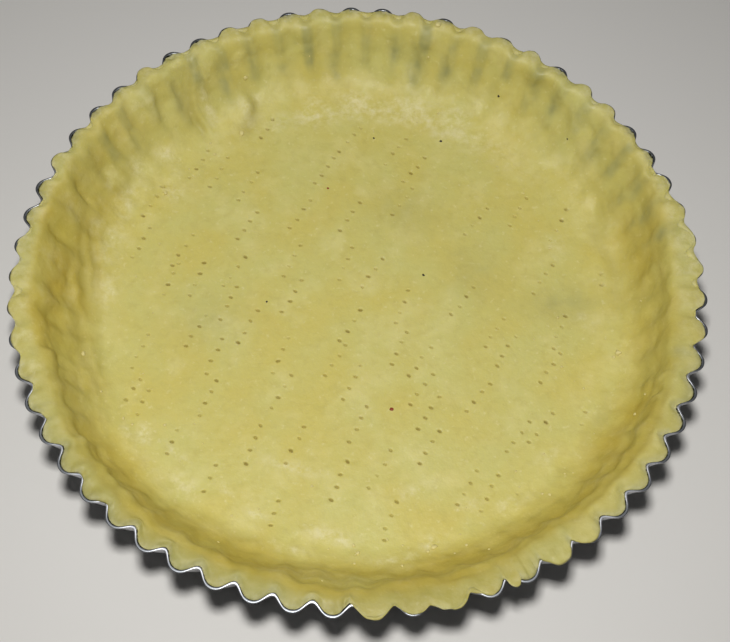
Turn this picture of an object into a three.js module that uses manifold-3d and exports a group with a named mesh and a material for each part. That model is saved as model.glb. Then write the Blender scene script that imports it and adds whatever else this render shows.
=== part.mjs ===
// A raw shortcrust pastry case, pressed by hand into a fluted tart tin and pricked with a fork.
// Two pieces: the sheet-metal tin, and the pastry that lines it and laps over its rim in places.
// Millimetres, +Z up. The origin is the middle of the tin's underside. Angles run anticlockwise from +X, and
// the cook stands at -Y.
import * as THREE from 'three';
import { mergeVertices } from 'three/addons/utils/BufferGeometryUtils.js';
import Module from 'manifold-3d';

// ---- the tin ----
const RIM_DIAMETER = 280; // over the outward flutes, at the rim
const BASE_DIAMETER = 256; // over the outward flutes, where the tin stands
const TIN_HEIGHT = 35;
const SHEET = 0.7; // measured along a radius
const HEM = 0.6; // how far the folded edge stands out
const HEM_HEIGHT = 1.7;
const FLUTES = 60;
const FLUTE_TURN = -1; // degrees: where the first outward flute lies
const RIM_FLUTE_DEPTH = 4.6;
const BASE_FLUTE_DEPTH = 3.4;
const FLUTE_SHARPNESS = 0.15; // the outward flutes are broad and the inward ones narrow

// ---- the pastry ----
const CLEARANCE = 0.45; // between pastry and tin, along a radius
const BED = 0.4; // between pastry and tin, under the floor
const FLOOR_THICKNESS = 4;
const LIP_RISE = 1.4; // the crest of the lip, above its edge
const CREST_INSET = 2.4;
const EDGE_BULGE = 0.4;
const SUNK_EDGE = 1.1; // how far the edge sits below the rim where nothing laps over it
const CASE_CORNER = 3; // the case's outer corner, which doesn't quite fill the tin's

// The inside of the wall, from the lip to the floor: height above the floor, inset from the tin's mean line,
// how much of the flutes shows through, and how much of a thick stretch of lip and of a thick foot is left.
const WALL_STEPS = [
  { above: 30.6, inset: 4.8, imprint: 0.3, lip: 1, foot: 0 },
  { above: 27.0, inset: 6.0, imprint: 0.36, lip: 0.85, foot: 0.15 },
  { above: 17.0, inset: 6.0, imprint: 0.34, lip: 0.5, foot: 0.5 },
  { above: 8.0, inset: 7.6, imprint: 0.24, lip: 0.15, foot: 0.8 },
  { above: 3.2, inset: 10.6, imprint: 0.08, lip: 0, foot: 1 },
  { above: 0.8, inset: 15.5, imprint: 0, lip: 0, foot: 0.85 },
];
const LIP_HIDES = 0.85; // how much of the flutes a thick lip hides

const FLOOR_INSET = 24;
const FLOOR_RINGS = [0.72, 0.36]; // shares of the floor's radius

// Stretches where the pastry laps over the rim: middle and half-width in degrees, and how far past the rim's
// mean line the lap's edge reaches, from BARE at the stretch's ends. The first is the whole back.
const BARE = -4;
const LAP_FLUTING = 0.8; // how far the flutes still show in a lap's edge
const LAPS = [
  { at: 85, half: 112, past: 0.3 },
  { at: -170, half: 18, past: 1.5 },
  { at: -151, half: 5, past: -0.6 },
  { at: -133, half: 5.5, past: -0.6 },
  { at: -85, half: 3.6, past: 2.9 }, // four torn lobes
  { at: -79, half: 3.8, past: 1.6 },
  { at: -73.6, half: 3.9, past: 3.1 },
  { at: -68, half: 3.2, past: 1.5 },
  { at: -63.5, half: 1.2, past: 4.3 }, // a scrap that hangs over the edge
  { at: -55.5, half: 2.8, past: 2.7 },
  { at: -50, half: 2.4, past: 2.0 },
  { at: -7.5, half: 3, past: 1.4 },
  { at: 11, half: 15.5, past: 1.6 },
  { at: 66, half: 6.5, past: 0.9 },
];

// Stretches where the lip was left thicker or thinner than elsewhere.
const THICK_LIPS = [
  { at: -80, half: 125, by: 4.8 },
  { at: -157, half: 14, by: 2.4 },
  { at: -112, half: 34, by: -1.4 },
  { at: -90, half: 14, by: -2.2 },
  { at: -56, half: 14, by: 1.6 },
  { at: -2, half: 32, by: 3.6 },
  { at: 180, half: 22, by: 1.6 },
];

// Stretches where the foot of the wall was left thicker.
const THICK_FEET = [
  { at: -88, half: 100, by: 4.4 },
  { at: -170, half: 34, by: 4.5 },
  { at: -30, half: 34, by: 1.2 },
  { at: 5, half: 30, by: 2 },
  { at: 135, half: 60, by: 2 },
];

// Slow unevenness left by the hands: whole waves round the case, height, and where they start.
const HAND_WAVES = [
  { waves: 3, height: 0.45, start: 1.1 },
  { waves: 7, height: 0.35, start: 4.0 },
  { waves: 13, height: 0.3, start: 2.3 },
  { waves: 23, height: 0.2, start: 0.6 },
];

// ---- the fork ----
const TINES = 4;
const TINE_PITCH = 5.6;
const PRICK_WIDTH = 1.2; // at the surface
const PRICK_DEPTH = 1.8;
const PRICKED_RADIUS = 106;

// Each stroke of the fork: x and y where its nearest tine went in, and which way the row of tines ran.
const STROKES = [
  [-99, 17, 70], [-97, 39, 66], [-94.7, -54.8, 64], [-92, -35, 70], [-88, -61, 75], [-83, 0, 76],
  [-81, 15, 67], [-79, 60, 64], [-73, -77, 77], [-72, 0.6, 75], [-71, -24, 64], [-69, 56, 69],
  [-61.2, -35, 71], [-61, -54, 73], [-58, 6, 65], [-57.5, -9.6, 73], [-57, -91, 73], [-56, 50, 66],
  [-55, 30, 62], [-49.4, 85, 64], [-49.2, -20.6, 67], [-41, -73, 74], [-33, -33, 75], [-33, 13, 69],
  [-32.2, -49, 68], [-32, -4.2, 64], [-32, 37.5, 64], [-30, -104, 78], [-25, -72, 68], [-23, 62, 63],
  [-13, 80.5, 58], [-12, -33, 62], [-10.3, 38, 63], [-9.3, 13, 74], [-7.2, -16.2, 60], [-6, -86, 71],
  [-4, -43, 68], [0, -61.3, 69], [1.2, 10, 62], [8, 75, 58], [9, -80, 64], [12.5, 48, 60],
  [14.9, -102, 73], [15, -26, 70], [15.8, -6.3, 70], [16.2, 66, 55], [22, -31, 56], [23.7, -43.5, 59],
  [27, -54, 62], [28, -69, 63], [39.5, -0.5, 57], [43.5, -85.5, 63], [45, 40, 57], [46.3, -45, 54],
  [53, -87, 65], [54, -15.5, 62], [58.7, -23.5, 62], [60, -95, 62], [63, -62, 56], [64, 46, 60],
  [72, -57, 54], [74.5, 12.7, 61], [77, -30, 60], [82, 40, 65], [82.6, -13.5, 72], [90.6, -58.2, 75],
  [104.2, 18, 101],
];

// ---- shared working values ----
const AROUND = FLUTES * 6; // points round the fluted surfaces
const DEGREE = Math.PI / 180;
const FLUTE_PEAK = 1 - FLUTE_SHARPNESS;
const FLOOR_TOP = SHEET + BED + FLOOR_THICKNESS;
const RIM_MEAN = RIM_DIAMETER / 2 - HEM - (FLUTE_PEAK * RIM_FLUTE_DEPTH) / 2;
const BASE_MEAN = BASE_DIAMETER / 2 - (FLUTE_PEAK * BASE_FLUTE_DEPTH) / 2;
const FLOOR_RADIUS = BASE_MEAN - SHEET + ((RIM_MEAN - BASE_MEAN) * FLOOR_TOP) / TIN_HEIGHT - FLOOR_INSET;

const mix = THREE.MathUtils.lerp;
const steps = THREE.MathUtils.smoothstep;

// ---- the fluted wall ----

// One cosine to a flute, with half its wave length taken off to narrow the inward side; from about -1 to 1.
function fluteWave(angle) {
  const turn = FLUTES * (angle - FLUTE_TURN * DEGREE);
  return Math.cos(turn) - FLUTE_SHARPNESS * Math.cos(2 * turn);
}

function meanRadius(z) {
  return mix(BASE_MEAN, RIM_MEAN, z / TIN_HEIGHT);
}

function tinOutside(z, angle) {
  const depth = mix(BASE_FLUTE_DEPTH, RIM_FLUTE_DEPTH, z / TIN_HEIGHT);
  return meanRadius(z) + (depth / 2) * fluteWave(angle);
}

function tinInside(z, angle) {
  return tinOutside(z, angle) - SHEET;
}

// ---- the pastry's edge ----

function degreesBetween(angle, at) {
  const gap = ((((angle / DEGREE - at) % 360) + 540) % 360) - 180;
  return Math.abs(gap);
}

// A raised cosine over each named stretch, added up.
function stretches(list, angle) {
  let sum = 0;
  for (const { at, half, by } of list) {
    const share = Math.min(1, degreesBetween(angle, at) / half);
    sum += (by * (1 + Math.cos(Math.PI * share))) / 2;
  }
  return sum;
}

function handWaves(angle, z = 0) {
  let sum = 0;
  for (const { waves, height, start } of HAND_WAVES) {
    sum += height * Math.sin(waves * angle + start + z * 0.09 * (1 + waves / 7));
  }
  return sum;
}

// The edge of the laps, as a radius.
function lapRadius(angle) {
  let past = BARE;
  for (const lap of LAPS) {
    const share = degreesBetween(angle, lap.at) / lap.half;
    if (share < 1) past = Math.max(past, BARE + (lap.past - BARE) * Math.sqrt(1 - share * share));
  }
  return RIM_MEAN + past + LAP_FLUTING * fluteWave(angle);
}

function cutRadius(angle) {
  return tinInside(TIN_HEIGHT, angle) - CLEARANCE;
}

function edgeRadius(angle) {
  return Math.max(cutRadius(angle), lapRadius(angle));
}

function lipRise(angle) {
  return LIP_RISE + 0.35 * handWaves(angle);
}

// 0 where the edge is cut off inside the rim, 1 where it laps over it.
function overRim(angle) {
  return steps(edgeRadius(angle) - cutRadius(angle), 0, 1.2);
}

// The edge rises clear of the rim a little before a lap begins.
function edgeHeight(angle) {
  const before = 1.2 * DEGREE;
  const raised = Math.max(overRim(angle - before), overRim(angle), overRim(angle + before));
  return TIN_HEIGHT + CLEARANCE - SUNK_EDGE * (1 - raised);
}

// ---- rings: a section carried round the axis ----

// Points round the axis at a radius and height that both depend on the angle.
function ring(count, radiusAt, heightAt) {
  const points = [];
  for (let i = 0; i < count; i++) {
    const angle = (i * 2 * Math.PI) / count + FLUTE_TURN * DEGREE;
    const radius = radiusAt(angle);
    points.push([radius * Math.cos(angle), radius * Math.sin(angle), heightAt(angle)]);
  }
  return points;
}

// Joins two rings. The second has as many points as the first, or half as many.
function joinRings(faces, from, fromCount, to, toCount) {
  if (fromCount === toCount) {
    for (let i = 0; i < fromCount; i++) {
      const j = (i + 1) % fromCount;
      faces.push(from + i, from + j, to + j, from + i, to + j, to + i);
    }
    return;
  }
  for (let i = 0; i < toCount; i++) {
    const near = from + 2 * i;
    const middle = near + 1;
    const far = from + ((2 * i + 2) % fromCount);
    const here = to + i;
    const next = to + ((i + 1) % toCount);
    faces.push(near, middle, here, middle, far, next, middle, next, here);
  }
}

// A closed surface from the middle of the underside, out and up, over the rim, and in to the top's middle.
function ringSolid(rings, bottomZ, topZ) {
  const points = [[0, 0, bottomZ]];
  const starts = [];
  for (const one of rings) {
    starts.push(points.length);
    points.push(...one);
  }
  points.push([0, 0, topZ]);

  const faces = [];
  const first = rings[0].length;
  for (let i = 0; i < first; i++) faces.push(0, 1 + ((i + 1) % first), 1 + i);
  for (let k = 1; k < rings.length; k++) {
    joinRings(faces, starts[k - 1], rings[k - 1].length, starts[k], rings[k].length);
  }
  const last = rings.at(-1).length;
  const start = starts.at(-1);
  const top = points.length - 1;
  for (let i = 0; i < last; i++) faces.push(top, start + i, start + ((i + 1) % last));

  const geometry = new THREE.BufferGeometry();
  geometry.setAttribute('position', new THREE.Float32BufferAttribute(points.flat(), 3));
  geometry.setIndex(faces);
  return geometry;
}

// ---- the tin: one pressed sheet with a folded edge ----

function tinGeometry() {
  const outside = (z, out = 0) => ring(AROUND, (a) => tinOutside(z, a) + out, () => z);
  const inside = (z) => ring(AROUND, (a) => tinInside(z, a), () => z);
  const rings = [
    outside(0),
    outside(TIN_HEIGHT - HEM_HEIGHT),
    outside(TIN_HEIGHT - HEM_HEIGHT + HEM, HEM),
    outside(TIN_HEIGHT, HEM * 0.8),
    inside(TIN_HEIGHT),
    inside(SHEET),
  ];
  return ringSolid(rings, 0, SHEET);
}

// ---- the pastry case ----

function wallInside(step, angle) {
  const z = FLOOR_TOP + step.above;
  const lip = stretches(THICK_LIPS, angle);
  const foot = stretches(THICK_FEET, angle);
  const hidden = LIP_HIDES * step.lip * steps(lip, 0.5, 3.5);
  const flutes = (step.imprint * (1 - hidden) * RIM_FLUTE_DEPTH * fluteWave(angle)) / 2;
  const inset = step.inset + lip * step.lip + foot * step.foot;
  return meanRadius(z) - SHEET - inset + handWaves(angle, z) + flutes;
}

// The lip is nearly flat, from its crest by the rim to where it turns down to the wall.
function lipInner(angle) {
  const inner = wallInside(WALL_STEPS[0], angle);
  return mix(inner, edgeRadius(angle), 0.45);
}

function caseGeometry() {
  const half = AROUND / 2;
  const underside = SHEET + BED;
  const rings = [
    ring(AROUND, (a) => tinInside(underside, a) - CLEARANCE - CASE_CORNER, () => underside),
    ring(AROUND, (a) => tinInside(underside + CASE_CORNER, a) - CLEARANCE, () => underside + CASE_CORNER),
    ring(AROUND, cutRadius, edgeHeight),
    ring(AROUND, (a) => edgeRadius(a) + EDGE_BULGE * overRim(a), (a) => edgeHeight(a) + LIP_RISE / 3),
    ring(AROUND, (a) => edgeRadius(a) - CREST_INSET, (a) => edgeHeight(a) + lipRise(a)),
    ring(half, lipInner, (a) => mix(TIN_HEIGHT + CLEARANCE, edgeHeight(a), 0.4) + lipRise(a)),
  ];
  for (const step of WALL_STEPS) {
    rings.push(ring(half, (a) => wallInside(step, a), () => FLOOR_TOP + step.above));
  }
  rings.push(ring(half / 2, (a) => FLOOR_RADIUS + handWaves(a), () => FLOOR_TOP));
  for (const share of FLOOR_RINGS) {
    rings.push(ring(half / 4, () => FLOOR_RADIUS * share, () => FLOOR_TOP));
  }
  return ringSolid(rings, underside, FLOOR_TOP);
}

// Where each tine went in: every stroke is a leaning row of four pricks.
function prickPlaces() {
  const places = [];
  for (const [x, y, degrees] of STROKES) {
    const lean = degrees * DEGREE;
    for (let tine = 0; tine < TINES; tine++) {
      const along = tine * TINE_PITCH;
      const place = [x + along * Math.cos(lean), y + along * Math.sin(lean)];
      if (Math.hypot(...place) < PRICKED_RADIUS) places.push(place);
    }
  }
  return places;
}

// A pointed four-sided pit, its mouth a little above the floor.
function prickGeometry([x, y]) {
  const above = 0.4;
  const height = PRICK_DEPTH + above;
  const mouth = (PRICK_WIDTH / 2) * (height / PRICK_DEPTH);
  const cone = new THREE.ConeGeometry(mouth, height, 4);
  cone.rotateX(-Math.PI / 2);
  cone.translate(x, y, FLOOR_TOP + above - height / 2);
  return cone;
}

// ---- joining and cutting ----

const wasm = await Module();
wasm.setup();

function toSolid(geometry) {
  const bare = geometry.clone();
  bare.deleteAttribute('normal');
  bare.deleteAttribute('uv');
  const merged = mergeVertices(bare, 1e-4);
  return new wasm.Manifold(new wasm.Mesh({
    numProp: 3,
    vertProperties: merged.attributes.position.array,
    triVerts: new Uint32Array(merged.index.array),
  }));
}

function toGeometry(solid) {
  const mesh = solid.getMesh();
  const geometry = new THREE.BufferGeometry();
  geometry.setAttribute('position', new THREE.BufferAttribute(mesh.vertProperties, 3));
  geometry.setIndex(new THREE.BufferAttribute(mesh.triVerts, 1));
  geometry.computeVertexNormals();
  return geometry;
}

function prickedCase() {
  let solid = toSolid(caseGeometry());
  for (const place of prickPlaces()) solid = solid.subtract(toSolid(prickGeometry(place)));
  return toGeometry(solid);
}

// ---- the pie, as it stands ----

const tinplate = new THREE.MeshStandardMaterial({ color: 0xb9bcc0, roughness: 0.32, metalness: 1 });
const rawPastry = new THREE.MeshStandardMaterial({ color: 0xd8c98a, roughness: 0.6, metalness: 0 });

const tin = new THREE.Mesh(tinGeometry(), tinplate);
tin.name = 'tart_tin';

const pastry = new THREE.Mesh(prickedCase(), rawPastry);
pastry.name = 'pastry_case';

const tart = new THREE.Group();
tart.add(tin, pastry);

export default tart;
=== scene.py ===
import functools
import itertools
import math

import bpy
import numpy as np
from mathutils import Matrix, Vector
from mathutils.geometry import delaunay_2d_cdt


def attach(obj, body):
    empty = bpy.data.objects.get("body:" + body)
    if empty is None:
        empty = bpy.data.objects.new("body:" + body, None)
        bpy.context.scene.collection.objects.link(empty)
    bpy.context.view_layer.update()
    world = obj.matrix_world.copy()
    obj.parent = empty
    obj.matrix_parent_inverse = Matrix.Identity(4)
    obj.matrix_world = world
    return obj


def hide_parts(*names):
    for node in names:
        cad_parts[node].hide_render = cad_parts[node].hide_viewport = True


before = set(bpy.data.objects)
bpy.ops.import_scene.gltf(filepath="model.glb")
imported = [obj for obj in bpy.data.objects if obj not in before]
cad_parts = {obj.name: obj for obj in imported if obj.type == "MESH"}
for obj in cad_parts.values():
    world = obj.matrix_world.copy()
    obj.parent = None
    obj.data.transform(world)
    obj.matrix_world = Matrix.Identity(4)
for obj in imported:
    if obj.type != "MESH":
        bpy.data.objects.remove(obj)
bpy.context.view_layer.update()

MM = 0.001

# ---- the tin ----
RIM_DIAMETER = 280
BASE_DIAMETER = 256
TIN_HEIGHT = 35
SHEET = 0.7
HEM = 0.6
HEM_HEIGHT = 1.7
FLUTES = 60
FLUTE_TURN = -1
RIM_FLUTE_DEPTH = 4.6
BASE_FLUTE_DEPTH = 3.4
FLUTE_SHARPNESS = 0.15
POINTS_TO_A_FLUTE = 20

# The folded edge: heights above where it begins and then from the rim, each with its reach past the wall.
HEM_FOOT = ((0.1, 0.08), (0.35, 0.4), (0.7, 0.58))
HEM_TOP = (
    (-0.45, 0.6), (-0.15, 0.52), (-0.03, 0.34), (0, 0.05), (-0.01, -0.35), (-0.08, -0.6), (-0.3, -SHEET),
)

FLUTE_PEAK = 1 - FLUTE_SHARPNESS
RIM_MEAN = RIM_DIAMETER / 2 - HEM - FLUTE_PEAK * RIM_FLUTE_DEPTH / 2
BASE_MEAN = BASE_DIAMETER / 2 - FLUTE_PEAK * BASE_FLUTE_DEPTH / 2

# ---- the pastry ----
CLEARANCE = 0.12
BED = 0.4
FLOOR_THICKNESS = 4
CASE_CORNER = 3
LIP_RISE = 0.8
LIP_WAVES = 0.35
CREST_INSET = 2.4
FLUTES_HIDDEN = 0.85  # how much of the flutes a thick lip hides
EDGE_BULGE = 0.4
SUNK_EDGE = 1.1
UNDERSIDE = SHEET + BED
FLOOR_TOP = UNDERSIDE + FLOOR_THICKNESS
FLOOR_INSET = 24
FLOOR_RADIUS = BASE_MEAN - SHEET + (RIM_MEAN - BASE_MEAN) * FLOOR_TOP / TIN_HEIGHT - FLOOR_INSET

# The inside of the wall from the floor up: height above the floor, inset from the tin's mean line, how much
# of the flutes shows through, and how much of a thick stretch of lip and of a thick foot is left there.
WALL_STEPS = (
    (0.8, 15.5, 0, 0, 0.85),
    (3.2, 10.6, 0.08, 0, 1),
    (8.0, 7.6, 0.24, 0.15, 0.8),
    (17.0, 6.0, 0.34, 0.5, 0.5),
    (27.0, 6.0, 0.36, 0.85, 0.15),
    (30.6, 4.8, 0.3, 1, 0),
)

# Stretches where the pastry laps over the rim: middle, half-width and how far past the rim's mean line. The
# first is the whole back.
BARE = -4
LAP_FLUTING = 0.8
LAPS = (
    (85, 112, 0.3), (-170, 18, 1.5), (-151, 5, -0.6), (-133, 5.5, -0.6), (-85, 3.6, 2.9), (-79, 3.8, 1.6),
    (-73.6, 3.9, 3.1), (-68, 3.2, 1.5), (-63.5, 1.2, 4.3), (-55.5, 2.8, 2.7), (-50, 2.4, 2.0), (-7.5, 3, 1.4),
    (11, 15.5, 1.6), (66, 6.5, 0.9),
)

# Flutes whose outward side the pastry leaves bare, counted from the first.
BARE_FLUTES = (5, 6, 9, 11, 13, 15, 16, 18, 21, 22, 24, 25, 26, 28, 29)

# Stretches where the lip is thicker or thinner: middle, half-width and by how much.
THICK_LIPS = (
    (-80, 125, 4.8), (-157, 14, 2.4), (-112, 34, -1.4), (-90, 14, -2.2), (-56, 14, 1.6), (-2, 32, 3.6),
    (180, 22, 1.6),
)

# Stretches where the foot of the wall is thicker.
THICK_FEET = (
    (-88, 100, 4.4), (-170, 34, 4.5), (-30, 34, 1.2), (5, 30, 2), (135, 60, 2),
)

# Slow unevenness left by the hands: whole waves round the case, height, and where they start.
HAND_WAVES = ((3, 0.45, 1.1), (7, 0.35, 4.0), (13, 0.3, 2.3), (23, 0.2, 0.6))
WAVE_LEAN = 0.09  # how fast they turn with height

# The stretch of the edge that is torn: its middle and half-width. The edge is more ragged there.
TORN_EDGE = (-68, 18)
RAGGED = 0.4
TORN = 0.5
FRAYED = 0.25

# ---- the fork ----
TINES = 4
TINE_PITCH = 5.6
PRICK_LENGTH = 1.6
PRICK_WIDTH = 1.0
PRICK_DEPTH = 1.2
PRICK_LIP = 0.08
PRICKED_RADIUS = 106

# Each stroke of the fork: where its nearest tine went in, and the way the row of tines ran.
STROKES = (
    (-99, 17, 70), (-97, 39, 66), (-94.7, -54.8, 64), (-92, -35, 70), (-88, -61, 75), (-83, 0, 76),
    (-81, 15, 67), (-79, 60, 64), (-73, -77, 77), (-72, 0.6, 75), (-71, -24, 64), (-69, 56, 69),
    (-61.2, -35, 71), (-61, -54, 73), (-58, 6, 65), (-57.5, -9.6, 73), (-57, -91, 73), (-56, 50, 66),
    (-55, 30, 62), (-49.4, 85, 64), (-49.2, -20.6, 67), (-41, -73, 74), (-33, -33, 75), (-33, 13, 69),
    (-32.2, -49, 68), (-32, -4.2, 64), (-32, 37.5, 64), (-30, -104, 78), (-25, -72, 68), (-23, 62, 63),
    (-13, 80.5, 58), (-12, -33, 62), (-10.3, 38, 63), (-9.3, 13, 74), (-7.2, -16.2, 60), (-6, -86, 71),
    (-4, -43, 68), (0, -61.3, 69), (1.2, 10, 62), (8, 75, 58), (9, -80, 64), (12.5, 48, 60),
    (14.9, -102, 73), (15, -26, 70), (15.8, -6.3, 70), (16.2, 66, 55), (22, -31, 56), (23.7, -43.5, 59),
    (27, -54, 62), (28, -69, 63), (39.5, -0.5, 57), (43.5, -85.5, 63), (45, 40, 57), (46.3, -45, 54),
    (53, -87, 65), (54, -15.5, 62), (58.7, -23.5, 62), (60, -95, 62), (63, -62, 56), (64, 46, 60),
    (72, -57, 54), (74.5, 12.7, 61), (77, -30, 60), (82, 40, 65), (82.6, -13.5, 72), (90.6, -58.2, 75),
    (104.2, 18, 101),
)

# ---- marks left by the hands ----
# Places on the pastry are given by an angle, and by the distance along its section from the floor's middle:
# the floor ends at about 103, the wall at about 146, and the lip's edge is at about 154. A soft border is
# given by where it begins and where it ends.
WALL_FROM = (FLOOR_RADIUS - 8, FLOOR_RADIUS + 10)
LOWER_WALL_TO = (141, 149)
WALL_TINT_FROM = (106, 122)
WALL_TINT_TO = (146, 150.5)
LIP_TINT_FROM = (146.5, 150.5)
FINGER_HEIGHT = 126
RIDGE_FOOT = 118
RIDGE_TOP = 143
LEDGE_LINE = 116.5
GROOVE_LINE = 148.8

# How high or deep the marks are, in millimetres. The second of a pair is added where they are plainest.
DAB_HEIGHT = 1.7
DRAWN_HEIGHT = 0.4
LEDGE_HEIGHT = 0.5
LUMPY_HEIGHT = 0.8
NOTCH_DEPTH = 1.1
GROOVE_DEPTH = (0.4, 0.75)
DENT_DEPTH = (0.4, 0.5)

# The unevenness of the surface: height on the floor, what the wall adds, size of the bumps, and a seed.
UNEVENNESS = ((0.2, 0.4, 27, 1), (0.1, 0.45, 12, 2), (0.05, 0.25, 6, 3), (0.02, 0.09, 3, 4))

# Folds, each a roll of pastry that ends in a crease: its height, how wide it is, and the crease's line, with
# the roll on its left as it runs, seen from above.
FOLDS = (
    (2.8, 4.5, ((128, 150), (129.6, 137), (131.4, 125), (131.5, 114), (133, 107))),
    (2.0, 5, ((126, 104), (121.5, 107), (118.3, 113), (119.6, 122))),
    (1.6, 8, ((161, 120), (167, 118.5), (173, 116), (179, 113), (186, 110))),
    (1.3, 5, ((168, 124), (173, 121.5), (178, 118.5), (184, 115))),
    (1.3, 7, ((176, 126), (183, 125), (189, 121), (196, 118), (204, 115), (212, 112))),
    (0.5, 7, ((-34, 112), (-28, 109), (-21, 110), (-14, 107))),
    (0.6, 6, ((3, 111), (11, 109), (20, 110), (29, 107))),
)

# Lumps and dents that the fingers left on the wall: place, half-lengths round and along, and height.
DABS = (
    (118.5, 138, 3, 3, 0.5), (125.5, 137, 5, 9, 0.5), (130.5, 146, 4, 3.5, 0.5), (136.5, 145, 4, 4, 0.6),
    (141, 139, 7.5, 8.5, 0.9), (148.5, 133, 4.5, 9, 0.5), (155, 123, 5, 6, 0.7), (156, 140, 5.5, 7, 0.6),
    (161, 138, 4, 8, 0.5), (161.5, 122, 4.5, 7, 0.4), (167.5, 134, 7.5, 10.5, 0.9),
    (179, 136, 7, 10, 0.8), (-173, 137, 6, 9, 0.6), (-154, 138, 5, 9, 0.5), (-148, 134, 4.5, 10, 0.5),
    (-141.5, 141, 2.2, 8, 0.9), (-133, 138, 3.5, 7, 0.7), (-129.3, 136, 4, 9, 0.6),
    (-125, 138, 3.5, 10, 0.5), (-110, 137, 4, 10, 0.5), (-100.5, 135, 6, 13, 0.8),
    (-79.5, 139, 6, 9, 0.7), (-67.5, 137, 4, 10, 0.5), (-52.5, 137, 3, 10, 0.5), (-39, 137, 4.5, 11, 0.7),
    (-33, 134, 4, 12, 0.5), (-27, 139, 5, 7.5, 0.9), (-26.5, 122, 4, 5, 0.4), (-20.5, 139, 1.8, 6, 0.6),
    (-16.5, 140, 1.8, 6, 0.6), (104, 106, 9, 5, 0.3), (81, 108, 8, 4, 0.25), (92, 109, 7, 4, 0.3),
    (70, 107, 7, 4, 0.25), (114, 101.5, 4, 2.5, 0.35), (139.5, 101, 3, 2.5, 0.4), (145, 106, 5, 4, 0.6),
    (153, 109, 6, 4, 0.6), (120.5, 112, 4, 5, 0.6), (-162, 142, 3, 5, -0.7), (-159.5, 131, 3, 6, -0.7),
    (-140.5, 127, 4.5, 3.5, -0.8), (-138, 140, 3.5, 7, -0.6), (-134.8, 136, 2, 8, -0.6),
    (-122, 138, 4, 10, -0.6), (-115, 137, 4.5, 10, -0.6), (-107, 137, 4.5, 11, -0.7),
    (-96.8, 139, 3, 9, -0.6), (-89.5, 138, 4.5, 9, -0.8), (-85, 138, 3.5, 9, -0.7),
    (-73, 136, 6, 12, -0.7), (-61.5, 137, 6, 11, -0.7), (-56, 137, 4, 11, -0.6),
    (-46.5, 134, 7, 12, -0.6), (-35.8, 146, 3, 3, -0.6), (-25.5, 128.5, 3.5, 2.8, -0.8),
    (-19, 140, 2, 5, -0.6), (-12.5, 133, 4, 5, -0.4), (13.5, 143, 3.5, 6, -0.4),
    (19.5, 137, 3.5, 8, -0.5), (25, 139, 3, 8, -0.4), (37, 130, 3, 9, -0.3), (43.5, 138, 3, 6, -0.4),
    (50.5, 135, 3.5, 7, -0.5), (55.5, 137, 3.5, 8, -0.6), (74.5, 128, 3, 8, -0.6),
    (81, 126, 3.5, 9, -0.6), (86, 135, 2.5, 9, -0.6), (98.5, 126, 3, 7, -0.4),
    (116.5, 134, 2.5, 11, -0.7), (122.5, 133, 3, 10, -0.6), (133.7, 133, 3, 10, -0.7),
    (146.5, 130, 2.2, 6, -0.6), (152.5, 127, 2.2, 8, -0.5), (163.3, 131, 2, 8, -0.5),
    (173.5, 137, 2.5, 7, -0.4), (-177, 125, 6, 3, -0.5),
)

# Patches left pale by dry flour or a rubbed skin: place, half-lengths round and along, and strength.
FLOURED = (
    (105.4, 104, 8, 6, 1.0), (95, 108.5, 9, 5, 0.8), (80, 108, 11, 5, 0.8), (69, 108, 10, 5, 0.7),
    (121, 112, 4, 7, 0.7), (150, 120, 5, 5, 0.6), (148, 100, 5, 6, 0.5), (168, 112, 12, 6, 0.6),
    (179, 108, 10, 6, 0.5), (-145, 109, 3, 2, 1.0), (-142, 103.6, 4, 3, 1.0), (-110, 100, 5, 2, 0.8),
    (-107, 78, 13, 3, 0.6), (-93, 101.5, 11, 3, 0.9), (-71.6, 85, 7, 3, 0.6), (-71, 108, 6, 3, 0.8),
    (-60, 99, 6, 3, 0.5), (86, 103, 60, 6, 0.75), (129, 124, 2.5, 15, 0.7), (141, 141, 6, 5, 0.5),
    (143, 114, 6, 5, 0.6), (157, 113, 8, 4, 0.7), (157, 128, 3, 7, 0.5), (167, 120, 7, 3, 0.5),
    (-133, 98, 6, 2, 0.7), (-127, 105, 7, 3, 0.8), (-119, 97, 5, 2, 0.7), (-101, 111, 8, 2, 0.7),
    (-80, 112, 8, 2, 0.7), (-52, 107, 8, 3, 0.6), (-38, 103, 7, 3, 0.5), (1, 96, 4, 5, 0.5),
    (24, 92, 6, 6, 0.4),
)

# Patches pressed so thin that the metal greys them: place, half-lengths round and along, strength.
THIN_PATCHES = (
    (123, 131, 2.4, 9, 0.9), (128.3, 134, 2.2, 9, 0.6), (116.4, 137, 2.6, 12, 1.0), (110, 127, 2.4, 3, 0.5),
    (98.5, 125, 3, 8, 0.6), (86, 134, 2.4, 9, 0.8), (81, 127, 3.6, 10, 0.9), (74.5, 128, 2.8, 8, 1.0),
    (68, 139, 2.2, 4, 0.6), (55.7, 139, 3.4, 9, 1.0), (50.4, 134, 3.2, 8, 0.8), (43.5, 138, 2.6, 6, 0.6),
    (37, 129, 3, 8, 0.4), (25, 139, 2.4, 8, 0.6), (19.3, 137, 3.8, 8, 0.8), (13.5, 143, 3.8, 6, 0.8),
    (-11.9, 148, 2.6, 5, 0.7), (133.7, 132, 3.4, 10, 0.5), (146.5, 129, 2.4, 6, 0.6), (5, 88, 8, 17, 0.5),
    (24, 52, 14, 12, 0.3), (-170, 62, 12, 14, 0.25), (72, 52, 16, 13, 0.3),
)

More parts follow.
